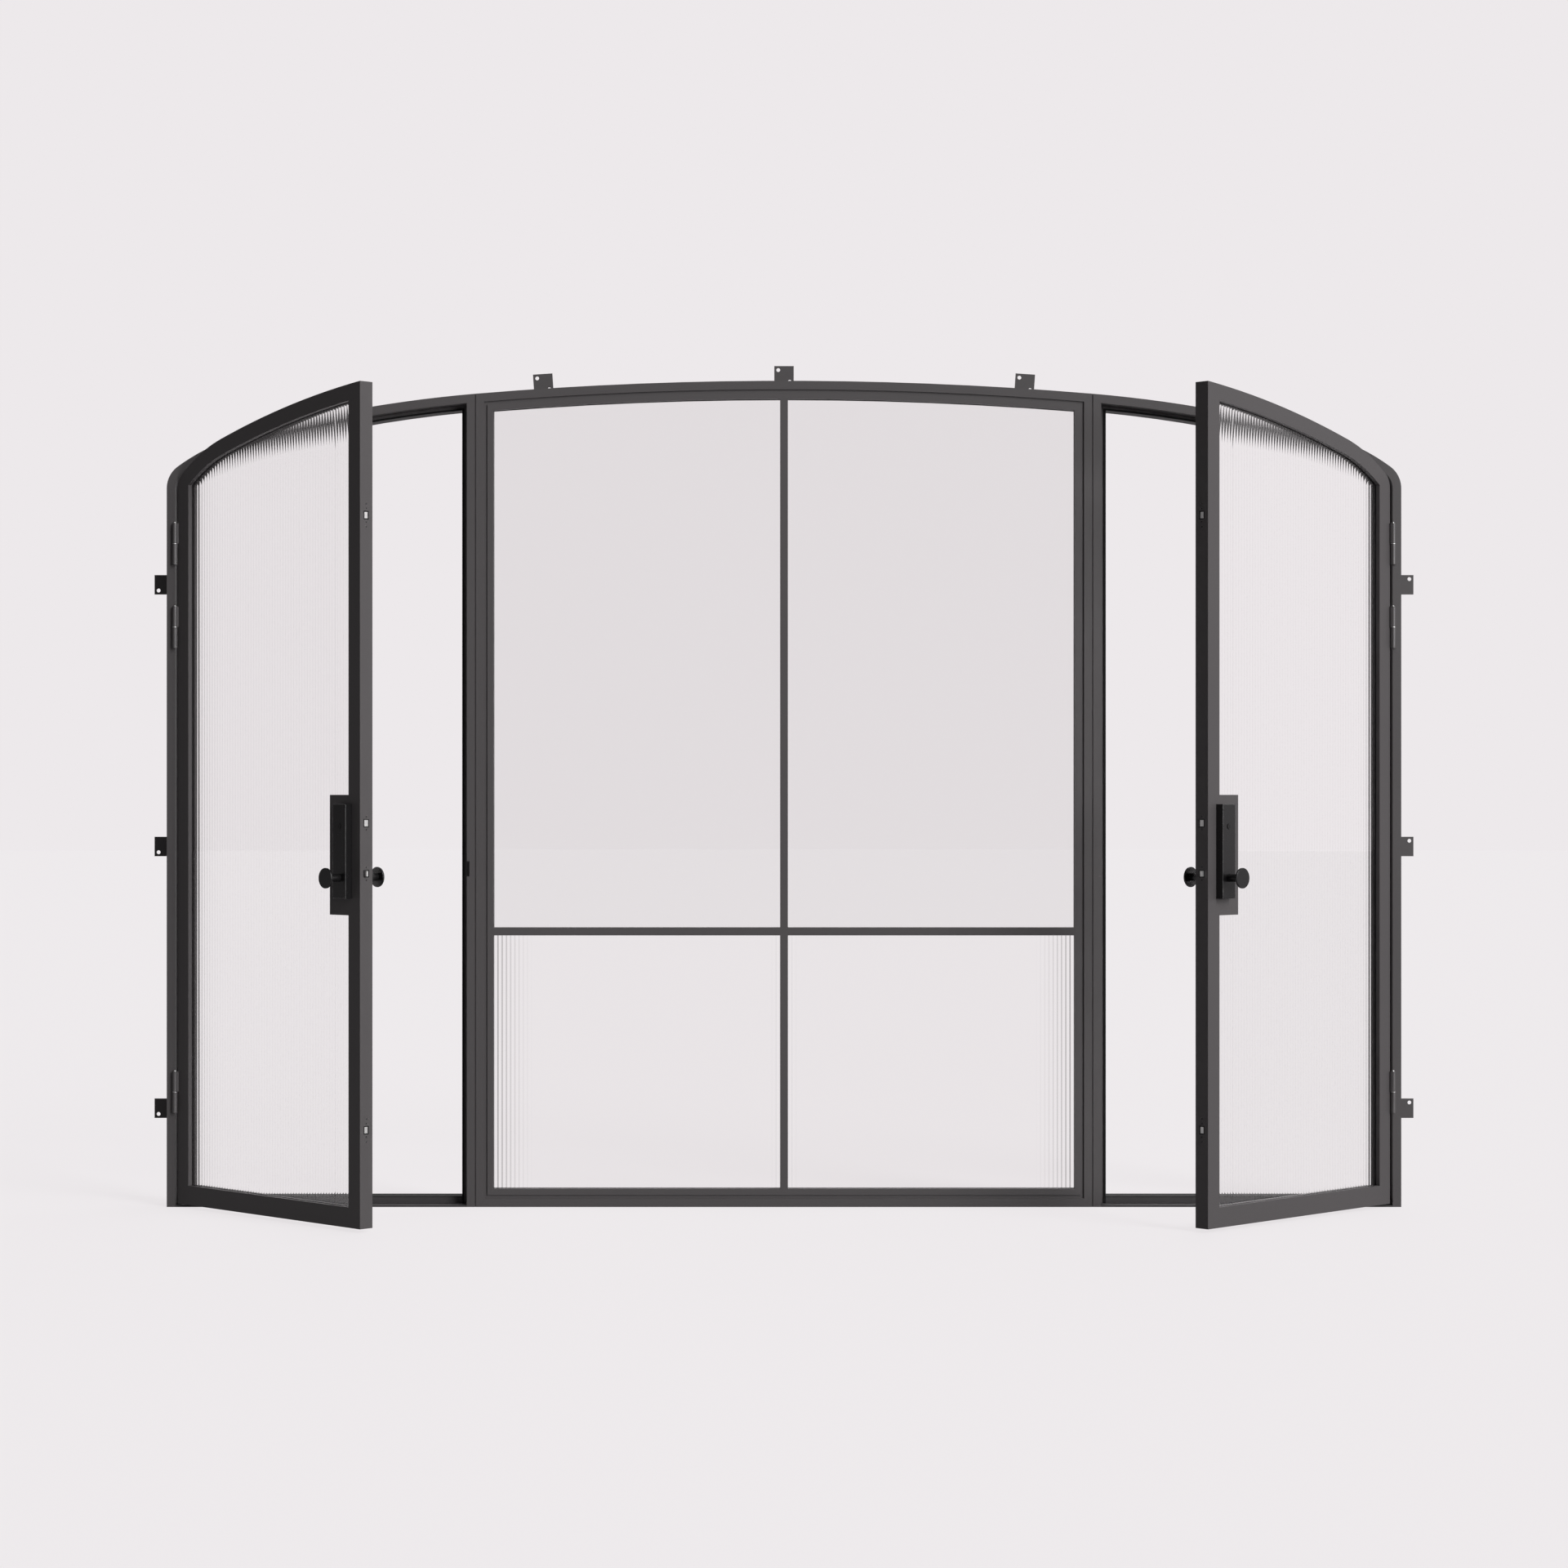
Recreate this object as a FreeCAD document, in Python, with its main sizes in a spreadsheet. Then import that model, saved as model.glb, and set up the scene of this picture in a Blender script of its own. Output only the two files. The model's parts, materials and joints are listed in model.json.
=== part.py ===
import FreeCAD, Part
import math
import os

# Arched steel entry set: a fixed, barred centre light between two hinged doors that open outward.
# X runs to the right seen from outside, the outside looks toward -Y and Z is up. The origin is
# the middle of the sill's underside, half way through the frame. Every door is drawn closed,
# from its hinge pin, and then swung open about that pin.

Vector = FreeCAD.Vector
Placement = FreeCAD.Placement
Rotation = FreeCAD.Rotation

SIZES = {
    # frame
    "overall_width": 3657.6,
    "overall_height": 2448.0,
    "frame_depth": 127.0,
    "frame_face": 25.4,
    "centre_width": 1828.8,
    # arch, from the crown to the corner above each jamb
    "crown_angle": 4.8,
    "haunch_radius": 3840.0,
    "haunch_angle": 10.4,
    "shoulder_radius": 600.0,
    "shoulder_angle": 21.0,
    "corner_radius": 80.0,
    # sills, door stops and their seals
    "sill_plate": 5.0,
    "sill_height": 25.4,
    "stop_face": 18.5,
    "head_stop_face": 14.0,
    "stop_setback": 56.0,
    "stop_depth": 66.0,
    "seal_thickness": 5.0,
    "seal_width": 5.0,
    "threshold_seal": 2.0,
    # seam between two units
    "seam_width": 1.5,
    "seam_depth": 3.0,
    # glazing of the centre light and the doors
    "lip_thickness": 12.5,
    "glass_bite": 8.0,
    "pane_thickness": 19.0,
    "sash_face": 28.0,
    "sash_setback": 1.0,
    "groove_width": 10.0,
    "groove_depth": 4.0,
    "sash_depth": 60.0,
    "bar_face": 23.0,
    "bar_height": 816.0,
    # doors
    "door_gap": 5.2,
    "lock_gap": 6.8,
    "door_lift": 11.0,
    "door_thickness": 44.5,
    "door_open_angle": 44.0,
    "stile_face": 50.8,
    "top_rail_face": 45.5,
    "bottom_rail_face": 57.0,
    "lock_box_width": 83.2,
    "lock_box_height": 337.0,
    "lock_box_base": 885.0,
    # hinges
    "hinge_forward": 8.0,
    "hinge_radius": 6.6,
    "hinge_half": 61.0,
    "hinge_washer": 1.6,
    "washer_lap": 0.2,
    "hinge_clearance": 0.3,
    "pin_radius": 3.5,
    "pin_clearance": 0.05,
    "pin_length": 48.0,
    "tip_radius": 3.0,
    "tip_height": 4.0,
    "wing_width": 5.5,
    "wing_start": 3.0,
    "frame_plate_width": 10.0,
    "frame_plate_thickness": 1.0,
    "hinge_top_drop": 165.5,
    "hinge_pair_step": 247.0,
    "hinge_bottom": 341.0,
    # lock plates, knobs and thumb turns
    "backset": 64.5,
    "plate_width": 57.0,
    "plate_height": 264.0,
    "plate_base": 932.0,
    "plate_thickness": 23.5,
    "plate_round": 2.5,
    "knob_height": 990.0,
    "knob_radius": 28.75,
    "knob_rim": 6.0,
    "knob_round": 1.5,
    "knob_reach": 73.0,
    "stem_radius": 10.8,
    "spindle_radius": 4.0,
    "turning_clearance": 0.5,
    "cylinder_radius": 8.0,
    "cylinder_proud": 2.0,
    "keyway_tall": 8.0,
    "keyway_wide": 1.6,
    "turn_length": 34.0,
    "turn_thickness": 7.0,
    "turn_reach": 22.0,
    "turn_stem_radius": 6.0,
    # latch and deadbolt
    "cylinder_height": 1134.0,
    "deadbolt_height": 1143.0,
    "deadbolt_tall": 17.6,
    "deadbolt_thick": 12.8,
    "latch_height": 1002.0,
    "latch_tall": 15.0,
    "latch_thick": 14.0,
    "latch_throw": 10.0,
    "latch_nose": 4.0,
    "deadbolt_throw": 20.0,
    "bolt_length": 50.0,
    "bolt_clearance": 0.5,
    "strike_tall": 45.0,
    "strike_clearance": 3.0,
    "strike_depth": 8.0,
    # catches let into the door's free edge
    "catch_top_drop": 445.0,
    "catch_bottom": 286.0,
    "catch_tall": 18.0,
    "catch_wide": 12.0,
    "catch_deep": 9.0,
    "catch_set_in": 1.0,
    "catch_margin": 2.8,
    # wall tabs
    "tab_width": 58.4,
    "tab_reach": 59.0,
    "tab_thickness": 3.2,
    "tab_hole_radius": 5.75,
    "tab_hole_edge": 12.0,
    "side_tab_low": 281.0,
    "side_tab_drop": 278.5,
    "top_tab_step": 720.0,
}

doc = FreeCAD.newDocument("entry_set")
sheet = doc.addObject("Spreadsheet::Sheet", "Sizes")
for row, (alias, value) in enumerate(SIZES.items(), start=1):
    sheet.set("A%d" % row, alias.replace("_", " "))
    sheet.set("B%d" % row, str(value))
    sheet.setAlias("B%d" % row, alias)
doc.recompute()


def size(alias):
    return float(sheet.get(alias))


# Lines that several pieces share. Widths and heights are those of the right-hand side.

SIDES = {"left": -1, "right": 1}
TOUCH = 0.001

half_width = size("overall_width") / 2
half_centre = size("centre_width") / 2
top = size("overall_height")
face = size("frame_face")
front = -size("frame_depth") / 2
back = -front
jamb_inside = half_width - face
post_inside = half_centre + face

bite = size("glass_bite")
sash_inset = face + size("sash_face")
sash_front = front + size("sash_setback")
lip = size("lip_thickness")
pane = size("pane_thickness")
bar_half = size("bar_face") / 2

hinge_x = jamb_inside
hinge_y = front - size("hinge_forward")
door_inset = face + size("door_gap")
door_high = half_width - door_inset
door_low = post_inside + size("lock_gap")
door_back = front + size("door_thickness")
door_middle = front + size("door_thickness") / 2
glass_inset = door_inset + size("top_rail_face")
glass_low = door_low + size("stile_face")
glass_high = door_high - size("stile_face")
glass_bottom = size("door_lift") + size("bottom_rail_face")
box_high = glass_low + size("lock_box_width")
box_base = size("lock_box_base")
box_top = box_base + size("lock_box_height")
knob_x = door_low + size("backset")
stop_front = front + size("stop_setback")
stop_low = post_inside + size("stop_face")
stop_high = jamb_inside - size("stop_face")
threshold = size("sill_height") - size("threshold_seal")

pieces = []


# The arch is a chain of tangent arcs. The crown's radius follows from the width and the rest.

def arch_arcs(inset):
    # Each arc is its centre, its radius and the angles from upright where it starts and ends.
    steps = [size("crown_angle"), size("haunch_angle"), size("shoulder_angle")]
    angles = [0.0] + [math.radians(sum(steps[: i + 1])) for i in range(3)] + [math.pi / 2]
    sines = [math.sin(angle) for angle in angles]
    radii = [size("haunch_radius"), size("shoulder_radius"), size("corner_radius")]
    covered = sum(radii[i] * (sines[i + 2] - sines[i + 1]) for i in range(3))
    radii.insert(0, (half_width - covered) / sines[1])
    x, z = 0.0, top - radii[0]
    right = []
    for i, radius in enumerate(radii):
        if i:
            x += (radii[i - 1] - radius) * sines[i]
            z += (radii[i - 1] - radius) * math.cos(angles[i])
        if radius <= inset:
            last = right[-1]
            last[4] = math.asin((half_width - inset - last[0]) / last[2])
            break
        right.append([x, z, radius - inset, angles[i], angles[i + 1]])
    left = [[-x, z, radius, -end, -start] for x, z, radius, start, end in reversed(right[1:])]
    crown = right[0]
    return left + [[0.0, crown[1], crown[2], -crown[4], crown[4]]] + right[1:]


def arch_height(inset, x):
    for centre_x, centre_z, radius, start, end in arch_arcs(inset):
        for turn in (start, end):
            if abs(centre_x + radius * math.sin(turn) - x) < TOUCH:
                return centre_z + radius * math.cos(turn)
        if centre_x + radius * math.sin(start) < x < centre_x + radius * math.sin(end):
            return centre_z + math.sqrt(radius ** 2 - (x - centre_x) ** 2)
    raise ValueError("the arch has no point at x = %.1f" % x)


def arch_slope(x):
    for centre_x, centre_z, radius, start, end in arch_arcs(0):
        if centre_x + radius * math.sin(start) <= x <= centre_x + radius * math.sin(end):
            return math.degrees(math.asin((x - centre_x) / radius))
    raise ValueError("the arch has no slope at x = %.1f" % x)


def arch_run(inset, low, high):
    run = []
    for centre_x, centre_z, radius, start, end in arch_arcs(inset):
        left, right = centre_x + radius * math.sin(start), centre_x + radius * math.sin(end)
        if right < low + TOUCH or left > high - TOUCH:
            continue
        if left < low - TOUCH:
            start = math.asin((low - centre_x) / radius)
        if right > high + TOUCH:
            end = math.asin((high - centre_x) / radius)
        circle = Part.Circle(Vector(centre_x, centre_z, 0), Vector(0, 0, 1), radius)
        run.append(Part.ArcOfCircle(circle, math.pi / 2 - end, math.pi / 2 - start))
    return run


spring = arch_height(0, half_width)


# Outlines in elevation: sketch X and Y are the model's X and Z.

def line(x0, z0, x1, z1):
    return Part.LineSegment(Vector(x0, z0, 0), Vector(x1, z1, 0))


def polygon(points):
    ends = points[1:] + points[:1]
    return [line(*start, *end) for start, end in zip(points, ends)]


def rectangle(low, high, bottom, height):
    return polygon([(low, bottom), (high, bottom), (high, height), (low, height)])


def circle_at(x, z, radius):
    return [Part.Circle(Vector(x, z, 0), Vector(0, 0, 1), radius)]


def under_arch(low, high, inset, bottom):
    left, right = arch_height(inset, low), arch_height(inset, high)
    ends = polygon([(low, left), (low, bottom), (high, bottom), (high, right)])
    return arch_run(inset, low, high) + ends[:3]


def arch_band(low, high, outer, inner):
    return arch_run(outer, low, high) + arch_run(inner, low, high) + [
        line(x, arch_height(outer, x), x, arch_height(inner, x)) for x in (low, high)
    ]


def mirrored(outline):
    turned = []
    for edge in outline:
        if isinstance(edge, Part.ArcOfCircle):
            circle = circle_at(-edge.Center.x, edge.Center.y, edge.Radius)[0]
            start, end = math.pi - edge.LastParameter, math.pi - edge.FirstParameter
            turned.append(Part.ArcOfCircle(circle, start, end))
        elif isinstance(edge, Part.Circle):
            turned += circle_at(-edge.Center.x, edge.Center.y, edge.Radius)
        else:
            start, end = edge.StartPoint, edge.EndPoint
            turned.append(line(-start.x, start.y, -end.x, end.y))
    return turned


def sided(outline, side):
    return mirrored(outline) if side < 0 else outline


# Bodies. What hangs on a door is placed by its hinge pin and turned by the opening angle.

def hinge_placement(side):
    turn = Rotation(Vector(0, 0, side), size("door_open_angle"))
    return Placement(Vector(side * hinge_x, hinge_y, 0), turn)


def new_body(label, door=0):
    body = doc.addObject("PartDesign::Body", label)
    body.Label = label
    if door:
        body.Placement = hinge_placement(door)
        body.setExpression("Placement.Rotation.Angle", "Sizes.door_open_angle")
    pieces.append(body)
    return body


def new_sketch(body, name, role, outline, offset):
    sketch = body.newObject("Sketcher::SketchObject", name)
    plane = next(feature for feature in body.Origin.OriginFeatures if feature.Role == role)
    sketch.AttachmentSupport = (plane, [""])
    sketch.MapMode = "FlatFace"
    sketch.AttachmentOffset = Placement(offset, Rotation())
    for edge in outline:
        sketch.addGeometry(edge, False)
    return sketch


def extrude(body, name, outline, y, depth, door=0, kind="Pad"):
    # An outline in elevation carried back from y, as a pad or a pocket, by a length from the sheet.
    origin = hinge_y if door else 0.0
    offset = Vector(-door * hinge_x, 0, origin - y)
    feature = body.newObject("PartDesign::" + kind, name)
    feature.Profile = new_sketch(body, name + "_outline", "XZ_Plane", outline, offset)
    feature.setExpression("Length", depth)
    feature.Reversed = kind == "Pad"
    return feature


def member(label, outline, y, depth, door=0):
    body = new_body(label, door)
    extrude(body, label + "_pad", outline, y, depth, door)
    return body


def glazed_member(label, lip_outline, web_outline, y, depth, door=0):
    # A member with a lip in front of the glass; behind the lip its outline stops short.
    body = member(label, lip_outline, y, "Sizes.lip_thickness", door)
    extrude(body, label + "_web", web_outline, y + lip, depth + " - Sizes.lip_thickness", door)
    return body


def carve(body, name, corner, lengths, side, door=0):
    # A box cut from a body, by its low corner on the right-hand side, drawn closed.
    x, y, z = corner
    if side < 0:
        x = -x - lengths[0]
    box = body.newObject("PartDesign::SubtractiveBox", name)
    box.Length, box.Width, box.Height = lengths
    box.Placement.Base = Vector(x - door * hinge_x, y - (hinge_y if door else 0.0), z)
    return box


def solid_piece(label, shape, door=0):
    # Pieces of several like solids. A door's are drawn closed and then swung.
    piece = doc.addObject("Part::Feature", label)
    piece.Label = label
    piece.Shape = shape
    if door:
        start = Placement(Vector(-door * hinge_x, -hinge_y, 0), Rotation())
        piece.Placement = hinge_placement(door).multiply(start)
    pieces.append(piece)
    return piece


def prism(outline, y, depth):
    wires = [Part.Wire(edges) for edges in Part.sortEdges([edge.toShape() for edge in outline])]
    solid = Part.makeFace(wires, "Part::FaceMakerBullseye").extrude(Vector(0, 0, -depth))
    return solid.transformed(Placement(Vector(0, y, 0), Rotation(Vector(1, 0, 0), 90)).toMatrix())


def ring(outer, inner, y, depth):
    return prism(outer, y, depth).cut(prism(inner, y, depth))


# Frame: jambs, posts, an arched head and a sill, each in three lengths for the three units.

def cut_seam(body, name, side, towards):
    # Half of the groove along the joint between two units: towards -1 is the centre light's half.
    wide = size("seam_width")
    corner = (half_centre - (wide if towards < 0 else 0.0), front, 0.0)
    carve(body, name + "_seam", corner, (wide, size("seam_depth"), top), side)


def build_frame():
    depth = "Sizes.frame_depth"
    sill = member("centre_sill", rectangle(-half_centre, half_centre, 0, face), front, depth)
    crown = member("centre_head", arch_band(-half_centre, half_centre, 0, face), front, depth)
    for name, side in SIDES.items():
        cut_seam(sill, name + "_centre_sill", side, -1)
        cut_seam(crown, name + "_centre_head", side, -1)
        jamb = rectangle(jamb_inside, half_width, 0, spring)
        member(name + "_jamb", sided(jamb, side), front, depth)
        outline = under_arch(half_centre - face, half_centre, face, face)
        centre_post = member(name + "_centre_post", sided(outline, side), front, depth)
        cut_seam(centre_post, name + "_centre_post", side, -1)
        outline = arch_run(0, half_centre, half_width) + arch_run(face, half_centre, jamb_inside)
        upper, lower = arch_height(0, half_centre), arch_height(face, half_centre)
        outline.append(line(half_centre, upper, half_centre, lower))
        outline.append(line(half_width, spring, jamb_inside, spring))
        head = member(name + "_head", sided(outline, side), front, depth)
        cut_seam(head, name + "_head", side, 1)
        build_lock_post(name, side)
        build_sill(name, side)
        build_stop(name, side)


def build_lock_post(name, side):
    # The latch swings in through a notch in the post's front edge; the deadbolt has a keep hole.
    outline = under_arch(half_centre, post_inside, face, 0)
    post = member(name + "_post", sided(outline, side), front, "Sizes.frame_depth")
    cut_seam(post, name + "_post", side, 1)
    clear = size("strike_clearance")
    notch_back = door_middle + size("latch_thick") / 2 + clear
    deep, tall = size("strike_depth"), size("strike_tall")
    corner = (post_inside - deep, front, size("latch_height") - tall / 2)
    carve(post, name + "_strike_notch", corner, (deep, notch_back - front, tall), side)
    deep, tall = size("deadbolt_throw"), size("deadbolt_tall") + 2 * clear
    wide = size("deadbolt_thick") + 2 * clear
    corner = (post_inside - deep, door_middle - wide / 2, size("deadbolt_height") - tall / 2)
    carve(post, name + "_keep_hole", corner, (deep, wide, tall), side)


def build_sill(name, side):
    # A plate with an upstand that the door closes against, topped by a rubber threshold strip.
    outline = sided(rectangle(post_inside, jamb_inside, 0, size("sill_plate")), side)
    body = member(name + "_sill", outline, front, "Sizes.frame_depth")
    upstand = sided(rectangle(stop_low, stop_high, 0, threshold), side)
    extrude(body, name + "_upstand", upstand, stop_front, "Sizes.stop_depth")


def door_surround(side_start, side_end, head_start, head_end):
    # Three lengths that line a doorway, up the post, over the arch and down the jamb.
    low, high, plate = post_inside, jamb_inside, size("sill_plate")
    return (
        under_arch(low + side_start, low + side_end, face + head_start, plate),
        arch_band(low + side_end, high - side_end, face + head_start, face + head_end),
        under_arch(high - side_end, high - side_start, face + head_start, plate),
    )


def build_stop(name, side):
    stop, head, depth = size("stop_face"), size("head_stop_face"), size("stop_depth")
    lengths = [prism(sided(outline, side), stop_front, depth)
               for outline in door_surround(0, stop, 0, head)]
    solid_piece(name + "_door_stop", Part.makeCompound(lengths))
    thick, wide = size("seal_thickness"), size("seal_width")
    seals = [prism(sided(outline, side), stop_front - thick, thick)
             for outline in door_surround(stop - wide, stop, head - wide, head)]
    strip = rectangle(stop_low, stop_high, threshold, size("sill_height"))
    seals.append(prism(sided(strip, side), stop_front, depth))
    solid_piece(name + "_door_seal", Part.makeCompound(seals))


# Centre light: a welded sash inside the frame, crossed glazing bars, four panes and their beads.

def glazed_solid(lip_outline, web_outline, y, depth, thickness):
    web = prism(web_outline, y + thickness, depth - thickness)
    return prism(lip_outline, y, thickness).fuse(web).removeSplitter()


def centre_glazing(upper, lap):
    # One pane's opening, larger by the lap that the lips cover.
    low, high = bar_half - lap, half_centre - sash_inset + lap
    if upper:
        return under_arch(low, high, sash_inset - lap, size("bar_height") + bar_half - lap)
    return rectangle(low, high, sash_inset - lap, size("bar_height") - bar_half + lap)


def sash_lengths(outer, lap):
    # Two stiles, an arched head and a bottom rail, from one inset to the sight line less the lap.
    inner = half_centre - sash_inset + lap
    stile = under_arch(inner, half_centre - outer, outer, outer)
    head = arch_band(-inner, inner, outer, sash_inset - lap)
    return mirrored(stile), stile, head, rectangle(-inner, inner, outer, sash_inset - lap)


def build_sash():
    # A shallow groove parts the sash's face from the frame's.
    groove = size("groove_depth")
    back_depth = size("sash_depth") - groove
    outlines = zip(
        sash_lengths(face + size("groove_width"), 0), sash_lengths(face, 0), sash_lengths(face, bite))
    lengths = []
    for raised, lip_outline, web in outlines:
        behind = glazed_solid(lip_outline, web, sash_front + groove, back_depth, lip - groove)
        lengths.append(behind.fuse(prism(raised, sash_front, groove)).removeSplitter())
    solid_piece("centre_sash", Part.makeCompound(lengths))


def build_centre_light():
    build_sash()
    bar_depth = "2 * Sizes.lip_thickness + Sizes.pane_thickness"
    web = bar_half - bite
    upright = under_arch(-bar_half, bar_half, sash_inset, sash_inset)
    upright_web = under_arch(-web, web, sash_inset - bite, sash_inset - bite)
    glazed_member("vertical_bar", upright, upright_web, sash_front, bar_depth)
    middle, inner = size("bar_height"), half_centre - sash_inset
    flange = rectangle(bar_half, inner, middle - bar_half, middle + bar_half)
    flange_web = rectangle(web, inner + bite, middle - web, middle + web)
    depth = 2 * lip + pane
    halves = [glazed_solid(sided(flange, side), sided(flange_web, side), sash_front, depth, lip)
              for side in SIDES.values()]
    solid_piece("horizontal_bar", Part.makeCompound(halves))
    beads = []
    for name, side in SIDES.items():
        for level, upper in (("upper", True), ("lower", False)):
            outline = sided(centre_glazing(upper, bite), side)
            member("%s_%s_pane" % (name, level), outline, sash_front + lip, "Sizes.pane_thickness")
            sight = sided(centre_glazing(upper, 0), side)
            beads.append(ring(outline, sight, sash_front + lip + pane, lip))
    solid_piece("centre_glazing_beads", Part.makeCompound(beads))


# Doors: stiles, an arched top rail and a bottom rail round one pane, with a box for the lock.

def door_glazing(lap):
    low, high, inset = glass_low - lap, glass_high + lap, glass_inset - lap
    box = box_high - lap
    corners = polygon([
        (low, arch_height(inset, low)),
        (low, box_top - lap),
        (box, box_top - lap),
        (box, box_base + lap),
        (low, box_base + lap),
        (low, glass_bottom - lap),
        (high, glass_bottom - lap),
        (high, arch_height(inset, high)),
    ])
    return arch_run(inset, low, high) + corners[:-1]


# The hinge stile stops where the door's outer edge starts to curve.
corner = arch_height(door_inset, door_high)


def top_rail(lap):
    low, high, inset = glass_low - lap, glass_high + lap, glass_inset - lap
    ends = [line(low, arch_height(door_inset, low), low, arch_height(inset, low))]
    ends.append(line(door_high, corner, high, corner))
    if abs(arch_height(inset, high) - corner) > TOUCH:
        ends.append(line(high, corner, high, arch_height(inset, high)))
    return arch_run(door_inset, low, door_high) + arch_run(inset, low, high) + ends


def build_door(name, side):
    thick, lift = "Sizes.door_thickness", size("door_lift")

    def part(label, outline):
        shapes = [sided(outline(lap), side) for lap in (0, bite)]
        return glazed_member(name + label, shapes[0], shapes[1], front, thick, side)

    part("_hinge_stile", lambda lap: rectangle(glass_high + lap, door_high, lift, corner))
    stile = part("_lock_stile", lambda lap: under_arch(door_low, glass_low - lap, door_inset, lift))
    part("_top_rail", top_rail)
    part("_bottom_rail", lambda lap: rectangle(
        glass_low - lap, glass_high + lap, lift, glass_bottom - lap))
    box = part("_lock_box", lambda lap: rectangle(
        glass_low - lap, box_high - lap, box_base + lap, box_top - lap))
    cut_bolt_channels(name, side, stile, box)
    cut_catch_pockets(name, side, stile)
    bore = size("spindle_radius") + size("turning_clearance")
    extrude(box, name + "_spindle_bore", circle_at(side * knob_x, size("knob_height"), bore), front,
            thick, side, "Pocket")
    pane_outline = sided(door_glazing(bite), side)
    member(name + "_door_glass", pane_outline, front + lip, "Sizes.pane_thickness", side)
    bead = size("door_thickness") - lip - pane
    beads = ring(pane_outline, sided(door_glazing(0), side), door_back - bead, bead)
    solid_piece(name + "_glazing_beads", beads, side)


def cut_bolt_channels(name, side, stile, box):
    clear = size("bolt_clearance")
    length = size("bolt_length") + size("latch_throw")
    for bolt in ("latch", "deadbolt"):
        thick, tall = size(bolt + "_thick") + 2 * clear, size(bolt + "_tall") + 2 * clear
        corner = (door_low, door_middle - thick / 2, size(bolt + "_height") - tall / 2)
        for body, owner in ((stile, "stile"), (box, "box")):
            label = "%s_%s_%s_channel" % (name, owner, bolt)
            carve(body, label, corner, (length, thick, tall), side, side)


def catch_heights():
    return top - size("catch_top_drop"), size("catch_bottom")


def cut_catch_pockets(name, side, stile):
    margin = size("catch_margin")
    tall, wide = size("catch_tall") + 2 * margin, size("catch_wide") + 2 * margin
    deep = size("catch_deep") + size("catch_set_in")
    for level, z in zip(("top", "bottom"), catch_heights()):
        corner = (door_low, door_middle - wide / 2, z - tall / 2)
        carve(stile, "%s_%s_catch_pocket" % (name, level), corner, (deep, wide, tall), side, side)


def build_catches(name, side):
    tall, wide, deep = size("catch_tall"), size("catch_wide"), size("catch_deep")
    low = door_low + size("catch_set_in")
    x = low if side > 0 else -low - deep
    catches = [Part.makeBox(deep, wide, tall, Vector(x, door_middle - wide / 2, z - tall / 2))
               for z in catch_heights()]
    solid_piece(name + "_edge_catches", Part.makeCompound(catches), side)


# Hinges: the lower knuckle, washer and pin stay on the jamb, the upper knuckle lifts with the door.

def hinge_wing(side, direction, bottom, height):
    start = hinge_x + direction * size("wing_start")
    end = start + direction * size("wing_width")
    x = min(side * start, side * end)
    return Part.makeBox(abs(end - start), size("hinge_forward"), height, Vector(x, hinge_y, bottom))


def frame_hinge(side, joint):
    half, radius = size("hinge_half"), size("hinge_radius")
    centre = Vector(side * hinge_x, hinge_y, joint)
    knuckle = Part.makeCylinder(radius, half, centre - Vector(0, 0, half))
    washer = Part.makeCylinder(radius + size("washer_lap"), size("hinge_washer"), centre)
    pin = Part.makeCylinder(size("pin_radius"), size("pin_length"), centre)
    width, thick = size("frame_plate_width"), size("frame_plate_thickness")
    x = hinge_x if side > 0 else -hinge_x - width
    plate = Part.makeBox(width, thick, 2 * half, Vector(x, front - thick, joint - half))
    wing = hinge_wing(side, 1, joint - half, half)
    return knuckle.fuse([washer, pin, plate, wing]).removeSplitter()


def door_hinge(side, joint):
    start = joint + size("hinge_washer") + size("hinge_clearance")
    length = joint + size("hinge_half") - start
    base = Vector(side * hinge_x, hinge_y, start)
    knuckle = Part.makeCylinder(size("hinge_radius"), length, base)
    tip_centre = base + Vector(0, 0, length + size("tip_height") - size("tip_radius"))
    tip = Part.makeSphere(size("tip_radius"), tip_centre)
    neck_height = size("tip_height") - size("tip_radius")
    neck = Part.makeCylinder(size("tip_radius"), neck_height, base + Vector(0, 0, length))
    bore_radius = size("pin_radius") + size("pin_clearance")
    bore = Part.makeCylinder(bore_radius, size("pin_length"), Vector(base.x, base.y, joint))
    wing = hinge_wing(side, -1, start, length)
    return knuckle.fuse([tip, neck, wing]).cut(bore).removeSplitter()


def build_hinges(name, side):
    upper = spring - size("hinge_top_drop")
    joints = (upper, upper - size("hinge_pair_step"), size("hinge_bottom"))
    solid_piece(name + "_frame_hinges", Part.makeCompound([frame_hinge(side, joint) for joint in joints]))
    solid_piece(name + "_door_hinges", Part.makeCompound([door_hinge(side, joint) for joint in joints]), side)


# Lock: a long plate on each face, two knobs on one spindle, latch, deadbolt and thumb turn.

def lock_plate(label, side, y, outer_y):
    body = new_body(label, side)
    x, half_plate = side * knob_x, size("plate_width") / 2
    base = size("plate_base")
    outline = rectangle(x - half_plate, x + half_plate, base, base + size("plate_height"))
    pad = extrude(body, label + "_pad", outline, y, "Sizes.plate_thickness", side)
    doc.recompute()
    local = outer_y - hinge_y
    names = [
        "Edge%d" % number for number, edge in enumerate(pad.Shape.Edges, start=1)
        if all(abs(vertex.Y - local) < TOUCH for vertex in edge.Vertexes)
    ]
    fillet = body.newObject("PartDesign::Fillet", label + "_round")
    fillet.Base = (pad, names)
    fillet.setExpression("Radius", "Sizes.plate_round")
    stem = size("stem_radius") + size("turning_clearance")
    hole = circle_at(x, size("knob_height"), stem)
    extrude(body, label + "_stem_hole", hole, y, "Sizes.plate_thickness", side, "Pocket")
    return body


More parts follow.
